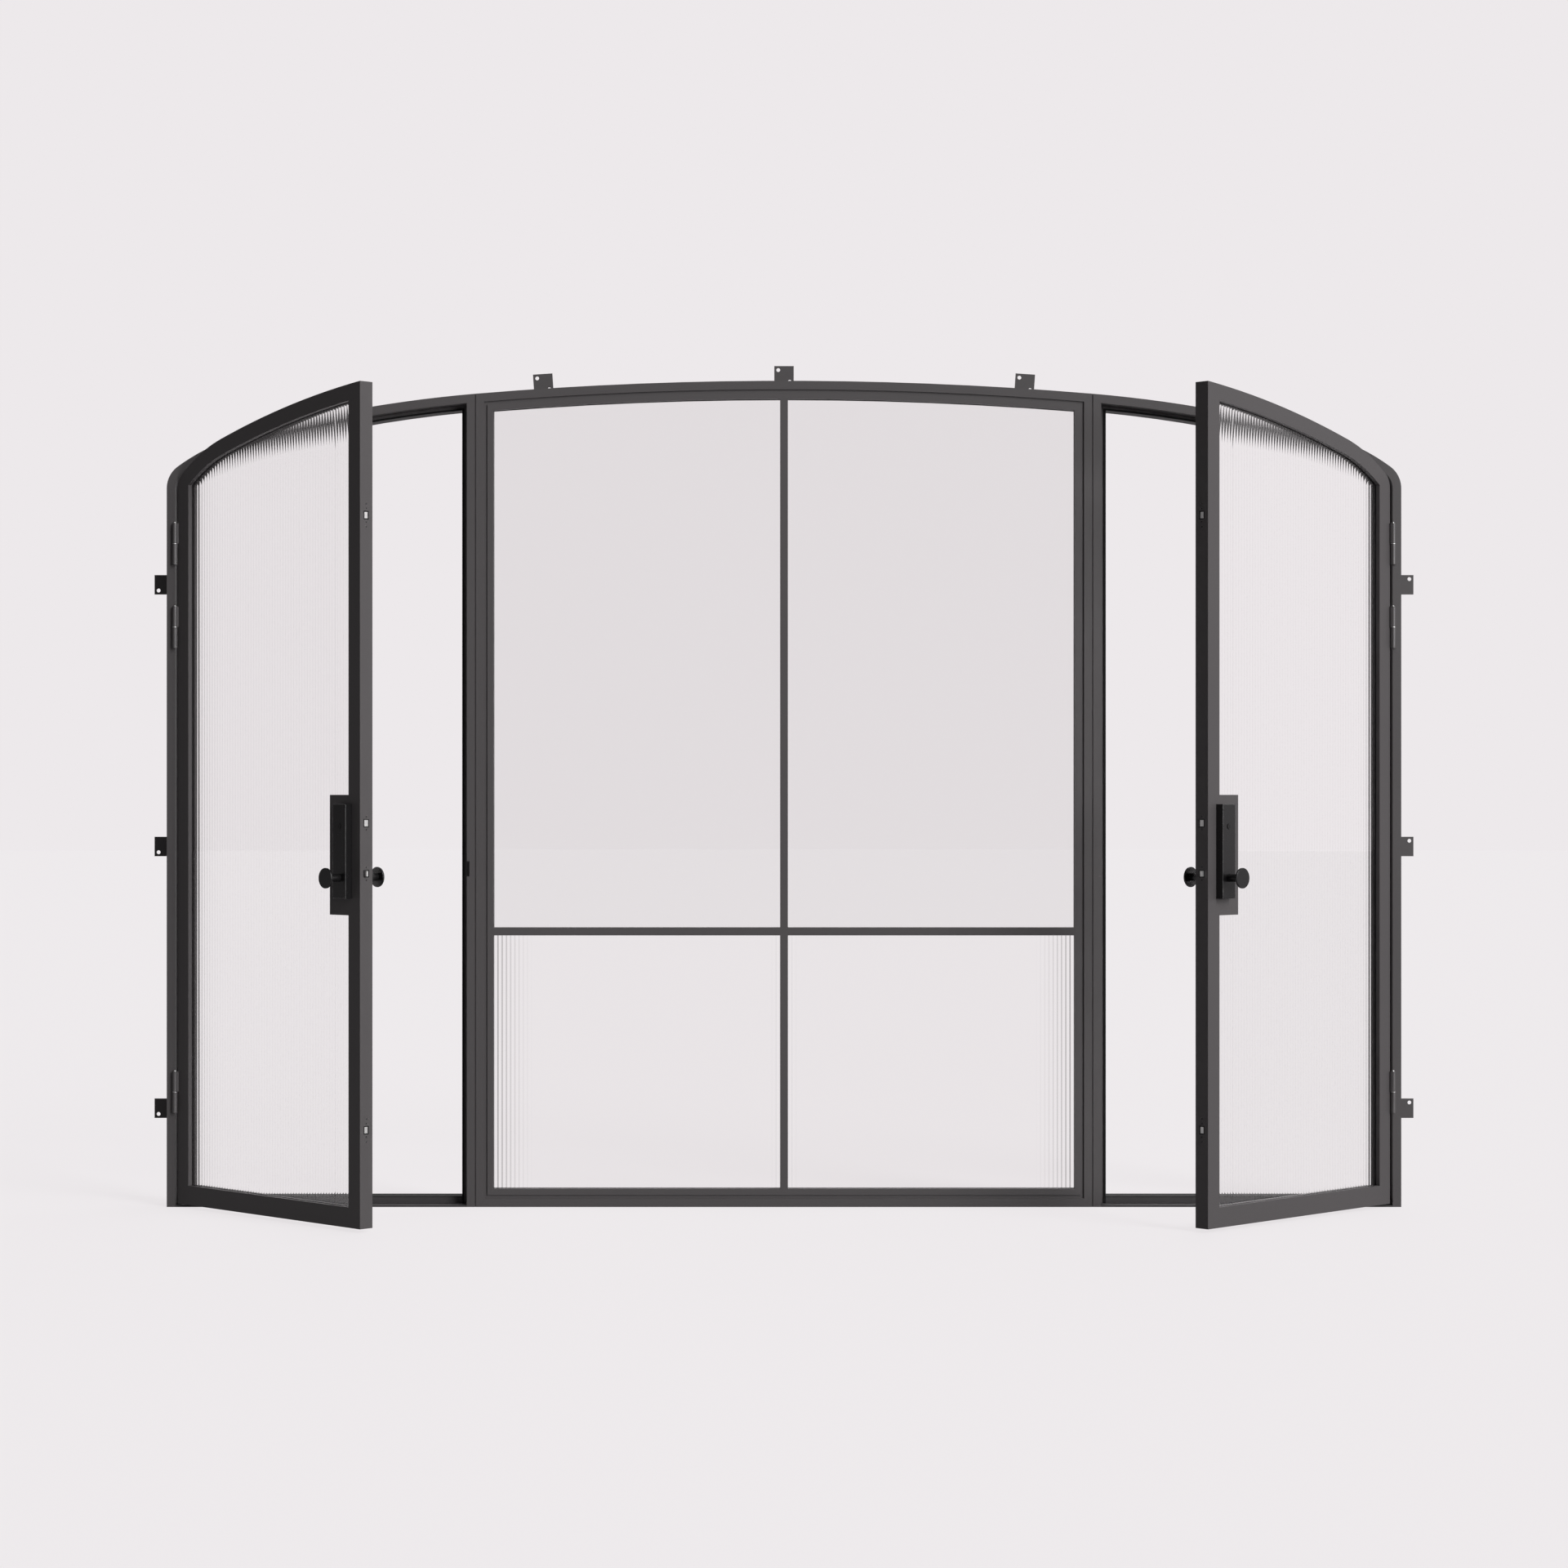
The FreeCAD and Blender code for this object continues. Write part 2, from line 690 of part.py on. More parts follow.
def build_plates(name, side):
    x, z = side * knob_x, size("cylinder_height")
    thick = size("plate_thickness")
    outer_face = front - thick
    outer = lock_plate(name + "_outer_plate", side, outer_face, outer_face)
    proud = size("cylinder_proud")
    rim = circle_at(x, z, size("cylinder_radius"))
    extrude(outer, name + "_key_cylinder", rim, outer_face - proud, "Sizes.cylinder_proud + 1", side)
    keyway_x, keyway_z = size("keyway_wide") / 2, size("keyway_tall") / 2
    keyway = rectangle(x - keyway_x, x + keyway_x, z - keyway_z, z + keyway_z)
    extrude(outer, name + "_keyway", keyway, outer_face - proud, "Sizes.cylinder_proud", side, "Pocket")
    inner = lock_plate(name + "_inner_plate", side, door_back, door_back + thick)
    hole = circle_at(x, z, size("turn_stem_radius") + size("turning_clearance"))
    extrude(inner, name + "_turn_hole", hole, door_back, "Sizes.plate_thickness", side, "Pocket")


def knob_disc(low, high):
    # Half of a disc's section: flat faces and a rounded rim, from the knob's axis outward.
    radius, soft = size("knob_radius"), size("knob_round")
    edges = [line(radius, low + soft, radius, high - soft)]
    for y, start in ((low + soft, 1.5 * math.pi), (high - soft, 0.0)):
        circle = circle_at(radius - soft, y, soft)[0]
        edges.append(Part.ArcOfCircle(circle, start, start + math.pi / 2))
    return edges


def build_knobs(name, side):
    body = new_body(name + "_knobs", side)
    stem, spindle = size("stem_radius"), size("spindle_radius")
    flat = size("knob_radius") - size("knob_round")
    rim, clear = size("knob_rim"), size("turning_clearance")
    start, end = front - size("knob_reach"), door_back + size("knob_reach")
    profile = knob_disc(start, start + rim) + knob_disc(end - rim, end)
    corners = [
        (flat, end), (0, end), (0, start), (flat, start),
    ]
    profile += [line(*one, *other) for one, other in zip(corners, corners[1:])]
    corners = [
        (flat, start + rim), (stem, start + rim), (stem, front - clear), (spindle, front - clear),
        (spindle, door_back + clear), (stem, door_back + clear), (stem, end - rim), (flat, end - rim),
    ]
    profile += [line(*one, *other) for one, other in zip(corners, corners[1:])]
    offset = Vector(side * (knob_x - hinge_x), -hinge_y, size("knob_height"))
    turned = body.newObject("PartDesign::Revolution", name + "_knobs_turned")
    turned.Profile = new_sketch(body, name + "_knobs_section", "XY_Plane", profile, offset)
    turned.ReferenceAxis = (turned.Profile[0], ["V_Axis"])
    turned.Angle = 360


def build_thumb_turn(name, side):
    body = new_body(name + "_thumb_turn", side)
    x, z = side * knob_x, size("cylinder_height")
    start = door_back + size("turning_clearance")
    stem = circle_at(x, z, size("turn_stem_radius"))
    length = "Sizes.plate_thickness - Sizes.turning_clearance + Sizes.turn_reach / 2"
    extrude(body, name + "_turn_stem", stem, start, length, side)
    half, tall = size("turn_thickness") / 2, size("turn_length") / 2
    grip = rectangle(x - half, x + half, z - tall, z + tall)
    grip_y = door_back + size("plate_thickness") + size("turn_reach") / 2
    extrude(body, name + "_turn_grip", grip, grip_y, "Sizes.turn_reach / 2", side)


def build_bolts(name, side):
    # Seen from above: the latch's nose is bevelled on the side that meets the post first.
    middle = door_middle
    for bolt, throw in (("latch", size("latch_throw")), ("deadbolt", 0.0)):
        half, tip = size(bolt + "_thick") / 2, door_low - throw
        end = tip + size("bolt_length")
        nose = size("latch_nose") - half if throw else half
        plan = polygon([(tip, middle - half), (end, middle - half), (end, middle + half),
                        (tip + throw, middle + half), (tip, middle + nose)][: 5 if throw else 4])
        label = name + ("_latch_bolt" if throw else "_deadbolt")
        body = new_body(label, side)
        bottom = size(bolt + "_height") - size(bolt + "_tall") / 2
        sketch = new_sketch(body, label + "_plan", "XY_Plane", sided(plan, side),
                            Vector(-side * hinge_x, -hinge_y, bottom))
        pad = body.newObject("PartDesign::Pad", label + "_pad")
        pad.Profile = sketch
        pad.setExpression("Length", "Sizes.%s_tall" % bolt)


# Wall tabs: like plates welded to the frame's back edge, each with two screw holes.

def tab_at(x, z, turn):
    half, reach, edge = size("tab_width") / 2, size("tab_reach"), size("tab_hole_edge")
    outline = rectangle(-half, half, 0, reach)
    outline += circle_at(edge - half, reach - edge, size("tab_hole_radius"))
    outline += circle_at(half - edge, edge, size("tab_hole_radius"))
    tab = prism(outline, 0, size("tab_thickness"))
    place = Placement(Vector(x, back - size("tab_thickness"), z), Rotation(Vector(0, 1, 0), turn))
    return tab.transformed(place.toMatrix())


def build_tabs():
    low = size("side_tab_low")
    step = (spring - size("side_tab_drop") - low) / 2
    tabs = [tab_at(side * half_width, low + i * step, side * 90) for side in SIDES.values() for i in range(3)]
    for i in (-1, 0, 1):
        x = i * size("top_tab_step")
        tabs.append(tab_at(x, arch_height(0, x), arch_slope(x)))
    solid_piece("wall_tabs", Part.makeCompound(tabs))


build_frame()
build_centre_light()
for side_name, side_sign in SIDES.items():
    build_door(side_name, side_sign)
    build_catches(side_name, side_sign)
    build_hinges(side_name, side_sign)
    build_plates(side_name, side_sign)
    build_knobs(side_name, side_sign)
    build_thumb_turn(side_name, side_sign)
    build_bolts(side_name, side_sign)
build_tabs()
doc.recompute()

for item in doc.Objects:
    if "Invalid" in item.State or "Error" in item.State:
        raise RuntimeError("%s is not up to date: %s" % (item.Label, item.State))
    if item.TypeId in ("PartDesign::Pocket", "PartDesign::SubtractiveBox"):
        if item.BaseFeature.Shape.Volume - item.Shape.Volume < 1.0:
            raise RuntimeError("%s cuts nothing" % item.Label)
for piece in pieces:
    if piece.Shape.isNull() or not piece.Shape.isValid() or not piece.Shape.Solids:
        raise RuntimeError("%s has no valid solid" % piece.Label)

os.makedirs("parts", exist_ok=True)
for piece in pieces:
    piece.Shape.exportStep("parts/%s.step" % piece.Label)
print("%d sub-parts written" % len(pieces))
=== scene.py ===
# %% [markdown]
# # Arched steel entry doors
# Two hinged, glazed steel doors stand open on either side of a fixed light, all in one arched
# frame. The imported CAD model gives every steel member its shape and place. This notebook adds
# what a solid model leaves out: ribbed glass, screws, bright trim, and the finish of each part.

import json
import math

import bmesh
import bpy
from mathutils import Matrix, Vector


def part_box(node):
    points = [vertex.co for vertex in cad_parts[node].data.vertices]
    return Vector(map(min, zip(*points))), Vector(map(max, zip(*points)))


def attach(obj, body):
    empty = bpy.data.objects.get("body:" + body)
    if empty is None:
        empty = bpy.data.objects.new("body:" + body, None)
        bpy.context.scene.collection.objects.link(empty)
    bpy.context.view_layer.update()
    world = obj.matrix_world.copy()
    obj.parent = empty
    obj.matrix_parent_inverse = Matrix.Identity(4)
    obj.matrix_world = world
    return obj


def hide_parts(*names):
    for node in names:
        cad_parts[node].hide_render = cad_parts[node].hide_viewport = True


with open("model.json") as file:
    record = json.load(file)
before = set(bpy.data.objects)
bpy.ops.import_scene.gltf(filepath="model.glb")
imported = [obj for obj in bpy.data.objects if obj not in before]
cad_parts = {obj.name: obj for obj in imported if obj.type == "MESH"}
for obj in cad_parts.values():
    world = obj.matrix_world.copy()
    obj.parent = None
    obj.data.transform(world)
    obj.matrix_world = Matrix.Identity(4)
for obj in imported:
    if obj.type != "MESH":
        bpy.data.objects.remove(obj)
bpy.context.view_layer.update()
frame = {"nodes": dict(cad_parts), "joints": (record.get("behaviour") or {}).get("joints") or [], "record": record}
nodes = frame["nodes"]
print("CAD nodes:", len(nodes))

# %% [markdown]
# ## Small helpers for materials
# Colours are chosen as the hex values that a paint chart or a picture editor shows. Blender
# works with linear light, so one function turns them. A second one adds a node, fills in its
# sockets and links them, which keeps each material short enough to read as a recipe. Three more
# start a material, mix two colours and finish a material.

# %% Colours and nodes
def linear(code):
    channels = [int(code[i:i + 2], 16) / 255 for i in (1, 3, 5)]
    return [c / 12.92 if c <= 0.04045 else ((c + 0.055) / 1.055) ** 2.4 for c in channels] + [1.0]


def add_node(tree, kind, sockets=None, **settings):
    made = tree.nodes.new(kind)
    for name, value in settings.items():
        setattr(made, name, value)
    for name, value in (sockets or {}).items():
        if isinstance(value, bpy.types.NodeSocket):
            tree.links.new(value, made.inputs[name])
        else:
            made.inputs[name].default_value = value
    return made


def new_material(name):
    material = bpy.data.materials.new(name)
    material.use_nodes = True
    tree = material.node_tree
    tree.nodes.clear()
    return material, tree


def mix_colours(tree, factor, first, second):
    colour = add_node(tree, "ShaderNodeMix", data_type="RGBA")
    tree.links.new(factor, colour.inputs["Factor"])
    colour.inputs["A"].default_value = linear(first)
    colour.inputs["B"].default_value = linear(second)
    return colour.outputs["Result"]


def finish_material(tree, shader):
    add_node(tree, "ShaderNodeOutputMaterial", {"Surface": shader.outputs[0]})


# %% [markdown]
# ## Powder-coated steel
# The members are welded steel tube with a satin, nearly black powder coat. Powder melts into a
# film with a fine orange-peel skin, about 2 mm from crest to crest, and the colour wanders very
# slightly over a long member. Two noises on object coordinates give both, in metres.

# %% Powder coat
def powder_coat(name, dark, light, smooth, rough):
    material, tree = new_material(name)
    place = add_node(tree, "ShaderNodeTexCoord").outputs["Object"]
    drift = add_node(tree, "ShaderNodeTexNoise", {"Vector": place, "Scale": 1.6, "Detail": 2.0})
    colour = mix_colours(tree, drift.outputs["Fac"], dark, light)
    peel = add_node(tree, "ShaderNodeTexNoise", {"Vector": place, "Scale": 500.0, "Detail": 1.0})
    sheen = add_node(tree, "ShaderNodeMapRange", {
        "Value": peel.outputs["Fac"], "To Min": smooth, "To Max": rough})
    skin = add_node(tree, "ShaderNodeBump", {
        "Height": peel.outputs["Fac"], "Strength": 0.12, "Distance": 0.0003})
    shader = add_node(tree, "ShaderNodeBsdfPrincipled", {
        "Base Color": colour,
        "Roughness": sheen.outputs["Result"],
        "Normal": skin.outputs["Normal"],
        "IOR": 1.5,
    })
    finish_material(tree, shader)
    return material


# %% [markdown]
# ## Gloss black, bright steel, rubber and nylon
# The small parts share one recipe: a fine noise drifts the colour between two close tones and
# raises a slight relief. What differs is the scale of the noise, the gloss and the metal.

# %% Hardware finishes
def grained(name, tones, grain, relief, surface, gloss=None, stretch=None):
    material, tree = new_material(name)
    place = add_node(tree, "ShaderNodeTexCoord").outputs["Object"]
    if stretch:
        mapping = add_node(tree, "ShaderNodeMapping", {"Vector": place, "Scale": stretch})
        place = mapping.outputs["Vector"]
    scale, detail = grain
    noise = add_node(tree, "ShaderNodeTexNoise", {"Vector": place, "Scale": scale, "Detail": detail})
    colour = mix_colours(tree, noise.outputs["Fac"], *tones)
    strength, distance = relief
    skin = add_node(tree, "ShaderNodeBump", {
        "Height": noise.outputs["Fac"], "Strength": strength, "Distance": distance})
    shader = add_node(tree, "ShaderNodeBsdfPrincipled", {
        "Base Color": colour, "Normal": skin.outputs["Normal"], **surface})
    if gloss:
        smooth, rough = gloss
        sheen = add_node(tree, "ShaderNodeMapRange", {
            "Value": noise.outputs["Fac"], "To Min": smooth, "To Max": rough})
        tree.links.new(sheen.outputs["Result"], shader.inputs["Roughness"])
    finish_material(tree, shader)
    return material


# Sprayed enamel on lock plates and knobs: smoother and deeper than the powder coat, with waves of
# about 7 mm, so that it shows the room as soft streaks.
enamel = grained(
    "gloss_black_enamel", ("#131213", "#181718"), grain=(140.0, 1.0), relief=(0.05, 0.0005),
    surface={"IOR": 1.5}, gloss=(0.2, 0.3))
# Zinc-plated bolts and catches, brushed level. Real scratches are finer than a tenth of a
# millimetre. These are 4 mm long and a third of a millimetre apart, so that a close view shows them.
zinc = grained(
    "brushed_zinc_plated_steel", ("#D2D2D1", "#ECECEB"), grain=(250.0, 2.0), relief=(0.1, 0.0002),
    surface={"Metallic": 1.0, "Roughness": 0.42}, stretch=(1.0, 1.0, 12.0))
# Moulded EPDM seals: matte, with a grain of about a millimetre and hardly any reflection.
rubber = grained(
    "moulded_epdm_rubber", ("#0F0F0F", "#161616"), grain=(900.0, 2.0), relief=(0.2, 0.0003),
    surface={"Roughness": 0.75, "Specular IOR Level": 0.15})
# Moulded nylon round the catches: black, with the fine grain of an eroded mould.
nylon = grained(
    "moulded_black_nylon", ("#060606", "#0B0B0B"), grain=(1200.0, 2.0), relief=(0.15, 0.0002),
    surface={"Roughness": 0.65, "IOR": 1.53, "Specular IOR Level": 0.1})


# %% [markdown]
# ## Glass
# The upper panes are clear float glass in a sealed unit, so they only dim what is behind them a
# little. The doors and the lower panes are reeded glass. Its ribs are real geometry further
# down. Where ribs meet near a steel edge, each groove shows the dark steel as a fine line. That
# line is thinner than the rendered ribs can bend, so the mesh carries it as an attribute, and the
# material darkens the glass there.

# %% Clear and reeded glass
def glass(name, tint, ripple, line_attribute=None):
    material, tree = new_material(name)
    place = add_node(tree, "ShaderNodeTexCoord").outputs["Object"]
    waviness = add_node(tree, "ShaderNodeTexNoise", {"Vector": place, "Scale": 9.0, "Detail": 1.0})
    surface = add_node(tree, "ShaderNodeBump", {
        "Height": waviness.outputs["Fac"], "Strength": ripple, "Distance": 0.001})
    shader = add_node(tree, "ShaderNodeBsdfPrincipled", {
        "Base Color": linear(tint),
        "Roughness": 0.0,
        "IOR": 1.5,
        "Transmission Weight": 1.0,
        "Normal": surface.outputs["Normal"],
    })
    if line_attribute:
        line = add_node(tree, "ShaderNodeAttribute", attribute_name=line_attribute)
        colour = mix_colours(tree, line.outputs["Fac"], tint, "#000000")
        tree.links.new(colour, shader.inputs["Base Color"])
    finish_material(tree, shader)
    return material


# Satin powder coat on every welded member: it spreads a highlight wide and hides the edges of it.
paint = powder_coat("satin_powder_coat_on_steel", "#454243", "#4A4748", 0.46, 0.56)
# The hinges carry a glossier coat, which catches the light along each knuckle. Its paler grey is painted light,
# for the highlights that the knuckles show.
hinge_paint_with_painted_light = powder_coat("semi_gloss_enamel_with_painted_light_on_hinges", "#4F4D4E", "#565354", 0.3, 0.38)
# The thresholds get a darker, duller coat than the rest. The darker tone is painted shade, for the shade that
# falls on them in the doorways.
threshold_paint_with_painted_shade = powder_coat("powder_coat_with_painted_shade_on_thresholds", "#2C2A2B", "#323031", 0.55, 0.68)
# Float glass is nearly flat. Reeded glass is rolled, and its lines come from the mesh.
clear = glass("clear_float_glass", "#F6F5F5", 0.02)
reeded = glass("reeded_rolled_glass", "#FCFBFB", 0.02, "groove_line")
finishes = {
    "dark_paint": paint,
    "black_hardware": enamel,
    "bright_steel": zinc,
    "black_rubber": rubber,
    "clear_glass": clear,
    "reeded_glass": reeded,
}
for part in frame["record"]["subparts"]:
    node = nodes[part["node"]]
    node.data.materials.clear()
    finish = finishes[part["material_slot"]]
    # The sills take the coat that is darkened with painted shade.
    if part["node"] in ("left_sill", "right_sill"):
        finish = threshold_paint_with_painted_shade
    # The hinges take the coat that is made paler with painted light.
    elif part["node"].endswith("_hinges"):
        finish = hinge_paint_with_painted_light
    node.data.materials.append(finish)

# %% [markdown]
# ## Where a door's pieces go
# The doors are drawn closed, where their sizes are easy to read, and then swung about the hinge
# pins to the 44 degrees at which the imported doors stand. The frame's own joint gives each pin. Swung
# back by the same angle, a CAD node's corners give its place on the closed door.

# %% Doors closed and swung
SIDES = {"left": -1, "right": 1}
OPEN_ANGLE = math.radians(44.0)
joints = {joint["name"]: joint for joint in frame["joints"]}


def hinge_pin(name):
    return Vector(joints[name + "_door_swing"]["pos_m"][:2]).to_3d()


def swing(name):
    pin = Matrix.Translation(hinge_pin(name))
    return pin @ Matrix.Rotation(OPEN_ANGLE * SIDES[name], 4, "Z") @ pin.inverted()


def closed_box(name, node):
    turned = [swing(name).inverted() @ vertex.co for vertex in nodes[node].data.vertices]
    low = Vector([min(point[i] for point in turned) for i in range(3)])
    high = Vector([max(point[i] for point in turned) for i in range(3)])
    return low, high


for name in SIDES:
    low, high = closed_box(name, name + "_lock_stile")
    print(name, "lock stile closed:", [round(v, 4) for v in (*low, *high)])


# %% [markdown]
# ## Making a piece
# A finished bmesh becomes a mesh, and the mesh becomes a piece that rides on a body. Real glass
# bends a lamp's light and doesn't stop it, so the panes cast no shadow on the steel. They pass
# no bounced light to it either, which would count the same lamp twice.

# %% Pieces
def as_mesh(name, bm):
    bmesh.ops.recalc_face_normals(bm, faces=bm.faces)
    mesh = bpy.data.meshes.new(name)
    bm.to_mesh(mesh)
    bm.free()
    return mesh


def let_light_through(pane):
    pane.visible_shadow = False
    pane.visible_diffuse = False


def add_piece(name, bm, material, body, swung=None):
    if swung:
        bm.transform(swing(swung))
    mesh = as_mesh(name, bm)
    piece = bpy.data.objects.new(name, mesh)
    bpy.context.scene.collection.objects.link(piece)
    mesh.materials.append(material)
    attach(piece, body)
    return piece


# %% [markdown]
# ## The arch
# The head of each reeded pane follows the arch. Its line is read off the pane's own CAD node:
# the highest corner at any distance along it, joined up. So the glass always fits the frame.

# %% Arch line of a node
BELOW_JAMB_TOP = 0.1


def top_line(points):
    # Only corners near or above the jambs' tops belong to the head. The lock box's notch is lower.
    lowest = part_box("left_jamb")[1].z - BELOW_JAMB_TOP
    highest = {}
    for point in points:
        if point.z > lowest:
            key = round(point.x, 4)
            highest[key] = max(highest.get(key, point.z), point.z)
    return sorted(highest.items())


def height_at(line, x):
    for (x0, z0), (x1, z1) in zip(line, line[1:]):
        if x0 <= x <= x1:
            return z0 + (z1 - z0) * (x - x0) / max(x1 - x0, 1e-9)
    return line[0][1] if x < line[0][0] else line[-1][1]


# %% [markdown]
# ## Reeded glass
# Reeded glass is rolled hot over a grooved drum, which leaves convex ribs 12.5 mm wide.
# A strip of columns is laid across the pane, each rib's columns are pulled out to a round
# crown, and the strip is then extruded to the flat back of the sealed unit. Two inner rows follow
# the foot and the head, so that the dark groove lines can fade out a few centimetres from the steel.

# %% Rib profile and groove lines
RIB = 0.0125
RIB_HEIGHT = 0.0009
COLUMNS_PER_RIB = 8
ROWS = 3
# How deep the pane sits in the steel, and how much of a rib the line at a groove takes up.
GLASS_BITE = 0.008
GROOVE_SHARE = 0.42
RIB_CREASE = math.radians(30)


def rib_profile(x, start):
    across = ((x - start) / RIB) % 1.0 * 2 - 1
    radius = (RIB ** 2 / 4 + RIB_HEIGHT ** 2) / (2 * RIB_HEIGHT)
    return math.sqrt(radius ** 2 - (across * RIB / 2) ** 2) - (radius - RIB_HEIGHT)


def fade(distance, strength, length):
    return strength * max(0.0, 1 - max(distance, 0.0) / length) ** 2


def streak_length(x, start, length):
    # Each groove's line has a length of its own, between a half and the whole of the given one.
    # The two waves don't fit into each other, so the lengths don't repeat along the pane.
    groove = round((x - start) / RIB)
    mean, spread, fast, slow = 0.75, 0.25, 2.4, 0.7
    return length * (mean + spread * math.sin(groove * fast) * math.cos(groove * slow))


# %% Reeded panes
def cut(bm, point, normal, drop_outer=False):
    everything = list(bm.verts) + list(bm.edges) + list(bm.faces)
    bmesh.ops.bisect_plane(
        bm, geom=everything, plane_co=point, plane_no=normal, clear_outer=drop_outer)


def reeded_sheet(low, high, head, lines, notch=None):
    ribs = math.ceil((high.x - low.x) / RIB)
    bm = bmesh.new()
    bmesh.ops.create_grid(bm, x_segments=ribs * COLUMNS_PER_RIB, y_segments=ROWS, size=0.5)
    start = (low.x + high.x) / 2 - ribs * RIB / 2
    for vertex in bm.verts:
        row = round((vertex.co.y + 0.5) * ROWS)
        vertex.co = Vector((start + (vertex.co.x + 0.5) * ribs * RIB, low.y, row))
    cut(bm, (low.x, 0, 0), (-1, 0, 0), drop_outer=True)
    cut(bm, (high.x, 0, 0), (1, 0, 0), drop_outer=True)
    for vertex in bm.verts:
        x, row = vertex.co.x, round(vertex.co.z)
        top, bottom = height_at(head, x), low.z
        foot_row = bottom + GLASS_BITE + streak_length(x, start, lines["foot"][1])
        head_row = top - GLASS_BITE - streak_length(x, start, lines["head"][1])
        vertex.co.z = (bottom, foot_row, head_row, top)[row]
    if notch:
        notch_x, notch_low, notch_high = notch
        cut(bm, (notch_x, 0, 0), (1, 0, 0))
        cut(bm, (0, 0, notch_low), (0, 0, 1))
        cut(bm, (0, 0, notch_high), (0, 0, 1))
        towards = -1 if abs(low.x - notch_x) < abs(high.x - notch_x) else 1
        inside = [
            face for face in bm.faces
            if (face.calc_center_median().x - notch_x) * towards > 0
            and notch_low < face.calc_center_median().z < notch_high
        ]
        bmesh.ops.delete(bm, geom=inside, context="FACES")
    line = bm.verts.layers.float.new("groove_line")
    for vertex in bm.verts:
        x, z = vertex.co.x, vertex.co.z
        groove = abs(((x - start) / RIB + 0.5) % 1.0 - 0.5)
        top = height_at(head, x)
        dark = fade(x - low.x - GLASS_BITE, *lines["low"])
        dark += fade(high.x - GLASS_BITE - x, *lines["high"])
        for name, near in (("foot", z - low.z < GLASS_BITE), ("head", top - z < GLASS_BITE)):
            dark += lines[name][0] * near
        vertex[line] = min(dark, 1.0) * max(0.0, 1 - groove / (GROOVE_SHARE / 2))
    made = bmesh.ops.extrude_face_region(bm, geom=list(bm.faces))
    behind = {item for item in made["geom"] if isinstance(item, bmesh.types.BMVert)}
    for vertex in bm.verts:
        if vertex in behind:
            vertex.co.y = high.y
            vertex[line] *= lines["behind"]
        else:
            vertex.co.y = low.y + RIB_HEIGHT - rib_profile(vertex.co.x, start)
    return bm


def shade_ribs(piece):
    for polygon in piece.data.polygons:
        polygon.use_smooth = True
    piece.data.set_sharp_from_angle(angle=RIB_CREASE)


# %% Lower panes
# For each edge: how dark its groove lines are, and how far in metres they reach. These panes are
# seen straight on, where the lines also show in the back of the sealed unit.
SASH_LINES = (1.0, 0.13)
BAR_LINES = (0.15, 0.04)
NO_LINES = (0.0, 0.02)
for name, side in SIDES.items():
    pane = name + "_lower_pane"
    low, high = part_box(pane)
    head = [(low.x, high.z), (high.x, high.z)]
    lines = {"low": SASH_LINES, "high": BAR_LINES}
    if side > 0:
        lines = {"low": BAR_LINES, "high": SASH_LINES}
    lines.update(foot=NO_LINES, head=NO_LINES, behind=1.0)
    bm = reeded_sheet(low, high, head, lines)
    piece = add_piece(name + "_lower_reeded_pane", bm, reeded, "frame")
    shade_ribs(piece)
    let_light_through(piece)
    let_light_through(nodes[name + "_upper_pane"])
    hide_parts(pane)
    print(piece.name, "faces:", len(piece.data.polygons))

# %% Door panes
# The open doors are seen at a slant, where lines in the back would show double, so it has none.
HINGE_LINES = {"left": (1.0, 0.18), "right": (1.0, 0.1)}
FOOT_LINES = (0.8, 0.018)
HEAD_LINES = (0.4, 0.03)
for name, side in SIDES.items():
    pane = name + "_door_glass"
    low, high = closed_box(name, pane)
    points = [swing(name).inverted() @ vertex.co for vertex in nodes[pane].data.vertices]
    box_low, box_high = closed_box(name, name + "_lock_box")
    inner_edge = box_high.x if side > 0 else box_low.x
    notch = (inner_edge - side * GLASS_BITE, box_low.z + GLASS_BITE, box_high.z - GLASS_BITE)
    lines = {"low": HINGE_LINES[name], "high": NO_LINES}
    if side > 0:
        lines = {"low": NO_LINES, "high": HINGE_LINES[name]}
    lines.update(foot=FOOT_LINES, head=HEAD_LINES, behind=0.0)
    bm = reeded_sheet(low, high, top_line(points), lines, notch)
    piece = add_piece(name + "_door_reeded_pane", bm, reeded, name + "_door", swung=name)
    shade_ribs(piece)
    let_light_through(piece)
    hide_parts(pane)
    print(piece.name, "faces:", len(piece.data.polygons))

# %% [markdown]
# ## Screws, catch housings and bolt frames
# The free edge of each door carries the small parts that a solid model leaves out: a black nylon
# housing round each catch, a thin frame round each bolt, and low screw heads above and below them.
# A housing is one rectangle that is inset, emptied and extruded. A screw head is a disc that is
# extruded, and then chamfered and given its socket by three insets. A finished shape is stamped
# wherever it is needed.

# %% Stamping small parts
SCREW_STEPS = 18
# Shares of the radius: the chamfer's width, the rim round the socket and the socket's own taper.
CHAMFER_SHARE, RIM_SHARE, TAPER_SHARE = 0.25, 0.3, 0.02
# Shares of the height: how far the chamfer rises and how deep the socket goes.
CHAMFER_RISE, SOCKET_DROP = 0.5, 1.5


def stamp(bm, source, place):
    before = set(bm.verts)
    bm.from_mesh(source)
    added = [vertex for vertex in bm.verts if vertex not in before]
    bmesh.ops.transform(bm, matrix=place, verts=added)


